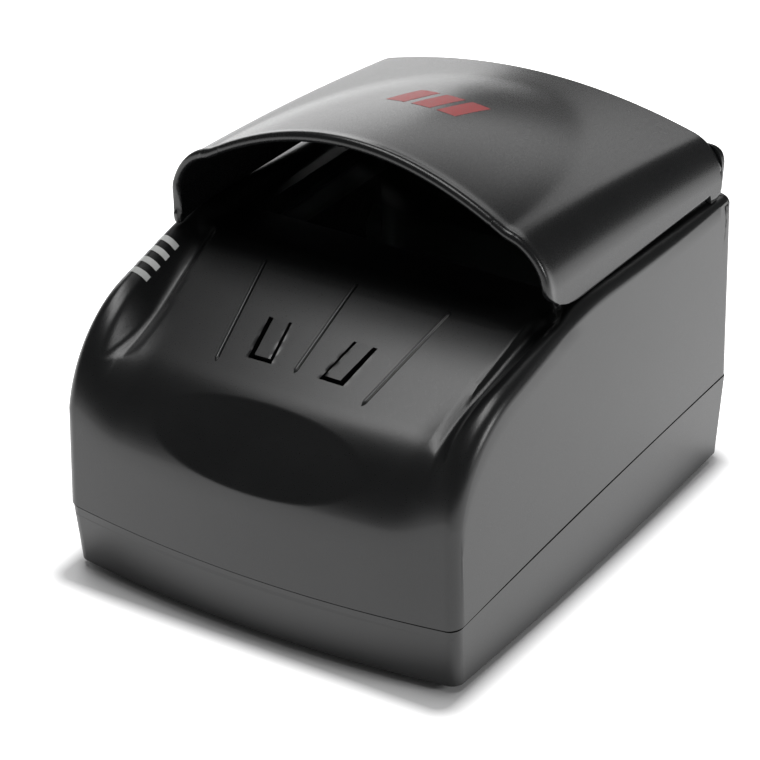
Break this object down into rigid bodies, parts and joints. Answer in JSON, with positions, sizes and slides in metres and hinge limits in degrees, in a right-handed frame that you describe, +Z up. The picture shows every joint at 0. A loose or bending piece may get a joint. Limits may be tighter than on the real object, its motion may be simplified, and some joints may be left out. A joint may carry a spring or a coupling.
{
  "type": "document page reader",
  "caption": "Desktop page reader in black plastic with a loading ramp, a glass window and a lift-up light hood.",
  "frame": {"origin": "on the table, under the middle of the outline's bounding box", "axes": "+Z up from the feet, +Y towards the rear sockets, -Y towards the user, +X to the user's right"},
  "size_m": [0.1732, 0.2146, 0.173],
  "materials": {
    "pan_plastic": "satin",
    "housing_plastic": "satin",
    "hood_plastic": "satin",
    "window_plastic": "translucent",
    "rubber": "matte",
    "screw_steel": "bright",
    "platen_glass": "polished",
    "foam_rubber": "open foam",
    "black_steel": "matte black",
    "inner_plastic": "matte",
    "mirror": "polished",
    "plated_steel": "zinc plated",
    "circuit_board": "solder resist",
    "brass": "turned",
    "lens_metal": "black anodised",
    "lens_glass": "coated",
    "sensor_glass": "polished",
    "led_package": "gloss",
    "diffuser_plastic": "frosted",
    "chip_package": "matte",
    "heatsink_aluminium": "anodised",
    "socket_plastic": "matte",
    "socket_metal": "tinned",
    "ribbon_film": "film",
    "connector_plastic": "matte",
    "bush_plastic": "natural",
    "pin_steel": "ground"
  },
  "bodies": {
    "body": {"base_pan": "pan_plastic", "top_housing": "housing_plastic", "status_windows": "window_plastic", "rubber_feet": "rubber", "base_screws": "screw_steel", "platen_glass": "platen_glass", "glass_gasket": "foam_rubber", "glass_retainer": "black_steel", "optics_box": "inner_plastic", "optics_screws": "screw_steel", "fold_mirror": "mirror", "mirror_clips": "inner_plastic", "camera_bracket": "plated_steel", "camera_board": "circuit_board", "camera_spacers": "brass", "camera_screws": "screw_steel", "lens_mount": "inner_plastic", "lens_barrel": "lens_metal", "lens_glass": "lens_glass", "image_sensor": "sensor_glass", "light_boards": "circuit_board", "light_leds": "led_package", "light_diffusers": "diffuser_plastic", "main_board": "circuit_board", "board_screws": "screw_steel", "board_chips": "chip_package", "heatsink": "heatsink_aluminium", "power_inlet": "socket_plastic", "data_socket": "socket_metal", "beeper": "chip_package", "camera_ribbon": "ribbon_film", "ribbon_connector": "connector_plastic", "status_board": "circuit_board", "status_leds": "led_package", "hinge_brackets": "plated_steel", "hinge_bushes": "bush_plastic", "hinge_screws": "screw_steel"},
    "hood": {"hood_shell": "hood_plastic", "hood_rear_cap": "hood_plastic", "hood_cap_screws": "screw_steel", "hood_bumpers": "rubber", "hinge_pins": "pin_steel"}
  },
  "joints": [
    {"name": "hood_hinge", "type": "hinge", "parent": "body", "child": "hood", "pos_m": [0, 0.0995, 0.1225], "axis": [-1, 0, 0], "range_deg": [0, 90]}
  ]
}
